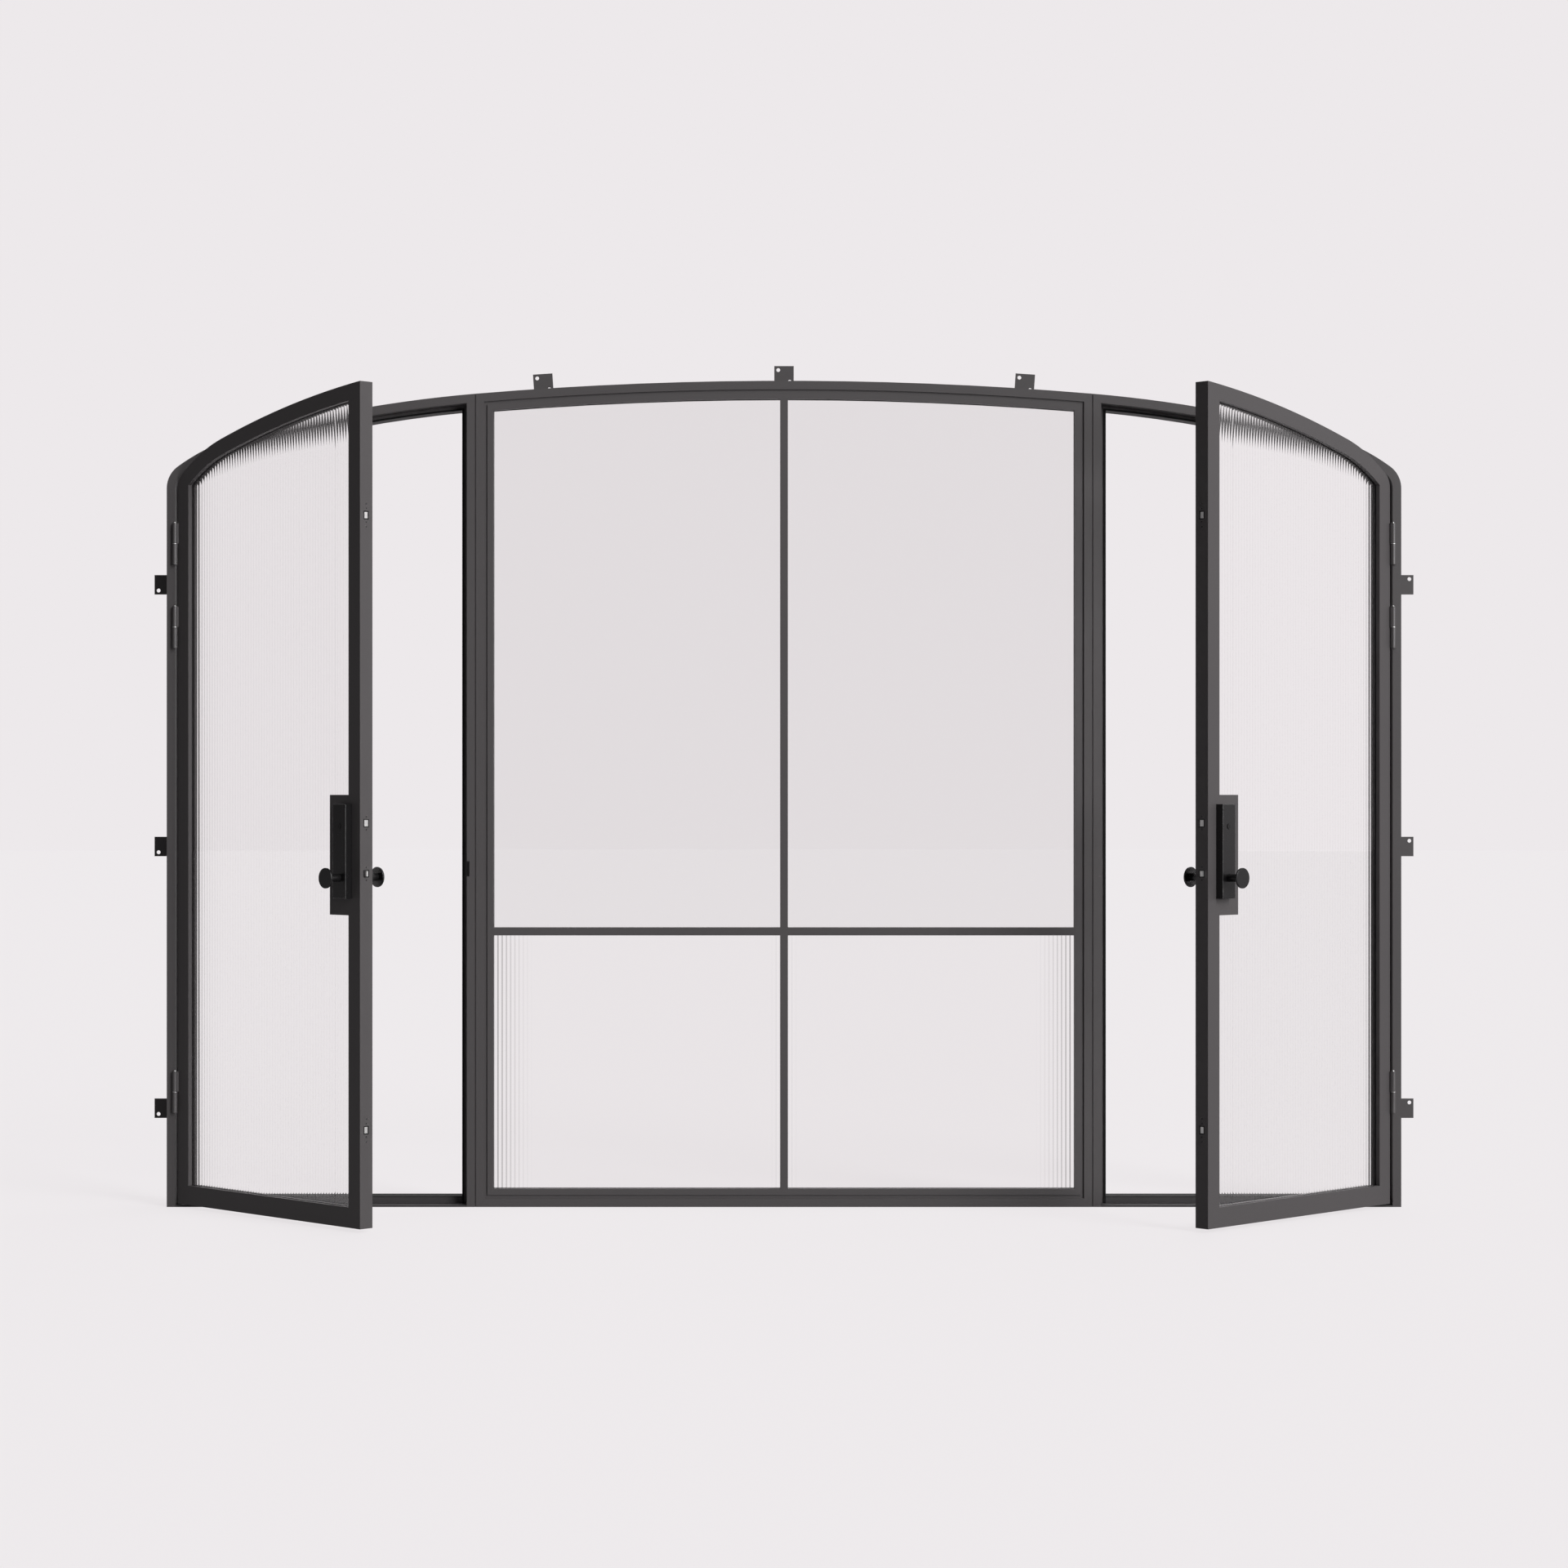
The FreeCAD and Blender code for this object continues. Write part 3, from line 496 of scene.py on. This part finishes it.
def screw_head(radius, proud):
    bm = bmesh.new()
    bmesh.ops.create_circle(bm, cap_ends=True, segments=SCREW_STEPS, radius=radius)
    made = bmesh.ops.extrude_face_region(bm, geom=list(bm.faces))
    top = [item for item in made["geom"] if isinstance(item, bmesh.types.BMFace)]
    bmesh.ops.translate(bm, verts=top[0].verts, vec=(0, 0, proud))
    steps = [(CHAMFER_SHARE, CHAMFER_RISE), (RIM_SHARE, 0.0), (TAPER_SHARE, -SOCKET_DROP)]
    for inward, upward in steps:
        bmesh.ops.inset_region(bm, faces=top, thickness=radius * inward, depth=proud * upward)
    return as_mesh("screw_head", bm)


def rectangular_frame(wide, tall, border, depth):
    # Its outer face lies at height zero, and the depth goes down from there.
    bm = bmesh.new()
    bmesh.ops.create_grid(bm, x_segments=1, y_segments=1, size=0.5)
    bmesh.ops.scale(bm, vec=(wide, tall, 1), verts=bm.verts)
    inner = list(bm.faces)
    bmesh.ops.inset_region(
        bm, faces=inner, thickness=border, use_boundary=True, use_even_offset=True)
    bmesh.ops.delete(bm, geom=inner, context="FACES")
    made = bmesh.ops.extrude_face_region(bm, geom=list(bm.faces))
    behind = [item for item in made["geom"] if isinstance(item, bmesh.types.BMVert)]
    bmesh.ops.translate(bm, verts=behind, vec=(0, 0, -depth))
    return as_mesh("rectangular_frame", bm)


# %% Hardware on the free edges
SCREW_RADIUS = 0.0022
BOLT_SCREW_STEP = 0.018
CATCH_SCREW_STEPS = (0.019, 0.032)
CATCH_TALL = 0.018
CATCH_MARGIN = 0.0026
HOUSING_GAP = 0.0002
HOUSING_DEPTH = 0.0085
BOLT_BORDER = 0.0025
PROUD = 0.0005


def on_edge(side, x, y, z):
    # Local X runs across the edge, local Y up it, and local Z out of it.
    across, up, out = Vector((0, side, 0)), Vector((0, 0, 1)), Vector((-side, 0, 0))
    turn = Matrix((across, up, out)).transposed().to_4x4()
    return Matrix.Translation((x, y, z)) @ turn


for name, side in SIDES.items():
    low, high = closed_box(name, name + "_lock_stile")
    edge_x, middle_y = (low.x if side > 0 else high.x), (low.y + high.y) / 2
    screws, housings, frames = bmesh.new(), bmesh.new(), bmesh.new()
    screw = screw_head(SCREW_RADIUS, PROUD)
    catch_low, catch_high = closed_box(name, name + "_edge_catches")
    wide, tall = catch_high.y - catch_low.y + 2 * CATCH_MARGIN, CATCH_TALL + 2 * CATCH_MARGIN
    housing = rectangular_frame(wide, tall, CATCH_MARGIN - HOUSING_GAP, HOUSING_DEPTH)
    for z in (catch_low.z + CATCH_TALL / 2, catch_high.z - CATCH_TALL / 2):
        stamp(housings, housing, on_edge(side, edge_x, middle_y, z))
        for step in CATCH_SCREW_STEPS:
            stamp(screws, screw, on_edge(side, edge_x, middle_y, z + step))
            stamp(screws, screw, on_edge(side, edge_x, middle_y, z - step))
    for bolt in ("_latch_bolt", "_deadbolt"):
        bolt_low, bolt_high = closed_box(name, name + bolt)
        z = (bolt_low.z + bolt_high.z) / 2
        wide = bolt_high.y - bolt_low.y + 2 * (BOLT_BORDER + PROUD)
        tall = bolt_high.z - bolt_low.z + 2 * (BOLT_BORDER + PROUD)
        surround = rectangular_frame(wide, tall, BOLT_BORDER, PROUD)
        stamp(frames, surround, on_edge(side, edge_x - side * PROUD, middle_y, z))
        for step in (BOLT_SCREW_STEP, -BOLT_SCREW_STEP):
            stamp(screws, screw, on_edge(side, edge_x, middle_y, z + step))
    door = name + "_door"
    add_piece(name + "_edge_screws", screws, enamel, door, swung=name)
    add_piece(name + "_catch_housings", housings, nylon, door, swung=name)
    add_piece(name + "_bolt_frames", frames, enamel, door, swung=name)
    endings = ("_edge_screws", "_catch_housings", "_bolt_frames")
    faces = [len(bpy.data.meshes[name + ending].polygons) for ending in endings]
    print(name, "edge at x =", round(edge_x, 4), "faces of screws, housings and frames:", faces)

# %% [markdown]
# ## Hinge trim
# Each lift-off hinge shows a bright ring where its two halves turn on each other, and the domed
# tip of its pin. A ring is a small rectangle spun about the pin. A tip is an arc spun the same way.

# %% Hinge rings and pin tips
RING_RADIUS = 0.0069
RING_WIDTH = 0.0008
RING_HEIGHT = 0.0016
RING_BEVEL = 0.0002
TIP_RADIUS = 0.0034
TIP_ABOVE_JOINT = 0.062
DOME_STEP = 15
SPIN_STEPS = 28
MERGE_DISTANCE = 1e-6
HINGE_SPACING = 0.1


def spun(profile, closed):
    bm = bmesh.new()
    corners = [bm.verts.new((x, 0, z)) for x, z in profile]
    pairs = zip(corners, corners[1:] + corners[:1]) if closed else zip(corners, corners[1:])
    for first, second in pairs:
        bm.edges.new((first, second))
    bmesh.ops.spin(
        bm, geom=list(bm.verts) + list(bm.edges), axis=(0, 0, 1), cent=(0, 0, 0),
        angle=math.tau, steps=SPIN_STEPS, use_merge=True)
    bmesh.ops.remove_doubles(bm, verts=bm.verts, dist=MERGE_DISTANCE)
    return bm


inner = RING_RADIUS - RING_WIDTH
section = [(inner, 0.0), (RING_RADIUS, RING_BEVEL)]
section += [(RING_RADIUS, RING_HEIGHT - RING_BEVEL), (inner, RING_HEIGHT)]
ring = as_mesh("hinge_ring", spun(section, closed=True))
dome = [math.radians(turn) for turn in range(0, 91, DOME_STEP)]
arc = [(TIP_RADIUS * math.cos(turn), TIP_RADIUS * math.sin(turn)) for turn in dome]
tip = as_mesh("pin_tip", spun([(0.0, 0.0)] + arc, closed=False))


def hinge_joints(name):
    # The frame's halves of the hinges are one node, and a gap in height parts one from the next.
    heights = sorted(vertex.co.z for vertex in nodes[name + "_frame_hinges"].data.vertices)
    groups = [heights[:1]]
    for z in heights[1:]:
        if z - groups[-1][-1] > HINGE_SPACING:
            groups.append([])
        groups[-1].append(z)
    return [(group[0] + group[-1]) / 2 for group in groups]


for name in SIDES:
    pin = hinge_pin(name)
    rings, tips = bmesh.new(), bmesh.new()
    for z in hinge_joints(name):
        stamp(rings, ring, Matrix.Translation((pin.x, pin.y, z)))
        stamp(tips, tip, Matrix.Translation((pin.x, pin.y, z + TIP_ABOVE_JOINT)))
    add_piece(name + "_hinge_rings", rings, zinc, "frame")
    add_piece(name + "_hinge_tips", tips, zinc, name + "_door")
    print(name, "hinge joints:", [round(z, 3) for z in hinge_joints(name)])

# %% [markdown]
# ## Camera
# The photograph is taken straight on, from about ten metres, level with the doors' middle. The
# lens follows from how many picture elements a metre of the frame's front face takes up, and the
# horizon's row in the picture gives the small vertical shift.

# %% Camera
FRONT = -0.0635
DISTANCE = 10.04
CAMERA_HEIGHT = 1.238
PIXELS_PER_METRE = 413.31
PICTURE = 1920
HORIZON = 966.3
SENSOR = 36.0
camera_data = bpy.data.cameras.new("photo_camera")
camera_data.sensor_width = SENSOR
camera_data.lens = SENSOR * DISTANCE * PIXELS_PER_METRE / PICTURE
camera_data.clip_end = 100.0
camera = bpy.data.objects.new("photo_camera", camera_data)
camera.location = (0.0, FRONT - DISTANCE, CAMERA_HEIGHT)
camera.rotation_euler = (math.radians(90), 0, 0)
camera_data.shift_y = (HORIZON - PICTURE / 2) / PICTURE
bpy.context.scene.collection.objects.link(camera)
bpy.context.scene.camera = camera
print("lens:", round(camera_data.lens, 1), "mm")

# %% [markdown]
# ## Studio
# The doors stand in a plain pale room. The camera and the glass see one even, pale grey, and the
# floor has the same tone with a soft shadow on it. Gloss and matt surfaces see a dimmer room that is
# brightest to the right and behind. Two broad suns stand to the front right and a weak one behind.

# %% Floor, world and lamps
BACKDROP = "#EDE9EB"
FLOOR_GLOW = 0.89
FLOOR_MATT = "#656565"
FLOOR_UNSEEN = "#8C8A8B"
FLOOR_IN_GLOSS = 0.4
FLOOR_RADIUS = 60.0
ROOM_BRIGHT_SIDE = (0.8, 0.55, 0.2)
ROOM_SPAN = (-0.6, 0.7)
ROOM_DIM, ROOM_BRIGHT = 0.08, 1.0
AMBIENT_SHARE = 0.5


def seen_directly(tree, light):
    rays = {0: light.outputs["Is Camera Ray"], 1: light.outputs["Is Transmission Ray"]}
    return add_node(tree, "ShaderNodeMath", rays, operation="MAXIMUM")


def studio_floor():
    # Camera and glass see a glow in the backdrop's colour with a little matt paint, which takes the
    # shadow. Gloss sees a dimmer glow, and the rest of the light falls on plain matt paint.
    material, tree = new_material("pale_studio_floor")
    light = add_node(tree, "ShaderNodeLightPath")
    glow = add_node(tree, "ShaderNodeEmission", {
        "Color": linear(BACKDROP), "Strength": FLOOR_GLOW})
    matt = add_node(tree, "ShaderNodeBsdfDiffuse", {"Color": linear(FLOOR_MATT)})
    shown = add_node(tree, "ShaderNodeAddShader", {0: glow.outputs[0], 1: matt.outputs[0]})
    plain = add_node(tree, "ShaderNodeBsdfDiffuse", {"Color": linear(FLOOR_UNSEEN)})
    mirrored = add_node(tree, "ShaderNodeEmission", {
        "Color": linear(BACKDROP), "Strength": FLOOR_IN_GLOSS})
    seen = seen_directly(tree, light)
    unseen = add_node(tree, "ShaderNodeMixShader", {
        0: light.outputs["Is Glossy Ray"], 1: plain.outputs[0], 2: mirrored.outputs[0]})
    shader = add_node(tree, "ShaderNodeMixShader", {
        0: seen.outputs[0], 1: unseen.outputs[0], 2: shown.outputs[0]})
    finish_material(tree, shader)
    return material


bm = bmesh.new()
bmesh.ops.create_circle(bm, cap_ends=True, segments=96, radius=FLOOR_RADIUS)
mesh = as_mesh("studio_floor", bm)
floor = bpy.data.objects.new("studio_floor", mesh)
mesh.materials.append(studio_floor())
bpy.context.scene.collection.objects.link(floor)

world = bpy.data.worlds.new("studio")
world.use_nodes = True
bpy.context.scene.world = world
tree = world.node_tree
tree.nodes.clear()
direction = add_node(tree, "ShaderNodeTexCoord").outputs["Generated"]
towards_light = add_node(tree, "ShaderNodeVectorMath", {
    0: direction, 1: ROOM_BRIGHT_SIDE}, operation="DOT_PRODUCT")
room = add_node(tree, "ShaderNodeMapRange", {
    "Value": towards_light.outputs["Value"],
    "From Min": ROOM_SPAN[0], "From Max": ROOM_SPAN[1], "To Min": ROOM_DIM, "To Max": ROOM_BRIGHT,
})
ambient = add_node(tree, "ShaderNodeMath", {
    0: room.outputs["Result"], 1: AMBIENT_SHARE}, operation="MULTIPLY")
light = add_node(tree, "ShaderNodeLightPath")
seen = seen_directly(tree, light)
shown = add_node(tree, "ShaderNodeBackground", {"Color": linear(BACKDROP), "Strength": 1.0})
mirrored = add_node(tree, "ShaderNodeBackground", {
    "Color": linear(BACKDROP), "Strength": room.outputs["Result"]})
lit = add_node(tree, "ShaderNodeBackground", {
    "Color": linear("#FFFFFF"), "Strength": ambient.outputs[0]})
unseen = add_node(tree, "ShaderNodeMixShader", {
    0: light.outputs["Is Glossy Ray"], 1: lit.outputs[0], 2: mirrored.outputs[0]})
mixed = add_node(tree, "ShaderNodeMixShader", {
    0: seen.outputs[0], 1: unseen.outputs[0], 2: shown.outputs[0]})
add_node(tree, "ShaderNodeOutputWorld", {"Surface": mixed.outputs[0]})


def add_sun(name, azimuth, height, strength, spread):
    # The azimuth is in degrees from straight in front, towards the right.
    data = bpy.data.lights.new(name, "SUN")
    data.energy = strength
    data.angle = math.radians(spread)
    lamp = bpy.data.objects.new(name, data)
    around, up = math.radians(azimuth), math.radians(height)
    level = Vector((math.sin(around), -math.cos(around), 0)) * math.cos(up)
    towards = level + Vector((0, 0, math.sin(up)))
    lamp.rotation_euler = towards.to_track_quat("Z", "Y").to_euler()
    # Seen through a pane, so wide a lamp would be a white disc, and glass should show the room.
    lamp.visible_transmission = False
    bpy.context.scene.collection.objects.link(lamp)


add_sun("key_from_the_right", 43, 32, 1.9, 24)
add_sun("low_key_from_the_right", 41, 5, 1.5, 20)
add_sun("fill_from_behind", 155, 24, 0.9, 60)

# %% View transform
bpy.context.scene.view_settings.view_transform = "Standard"
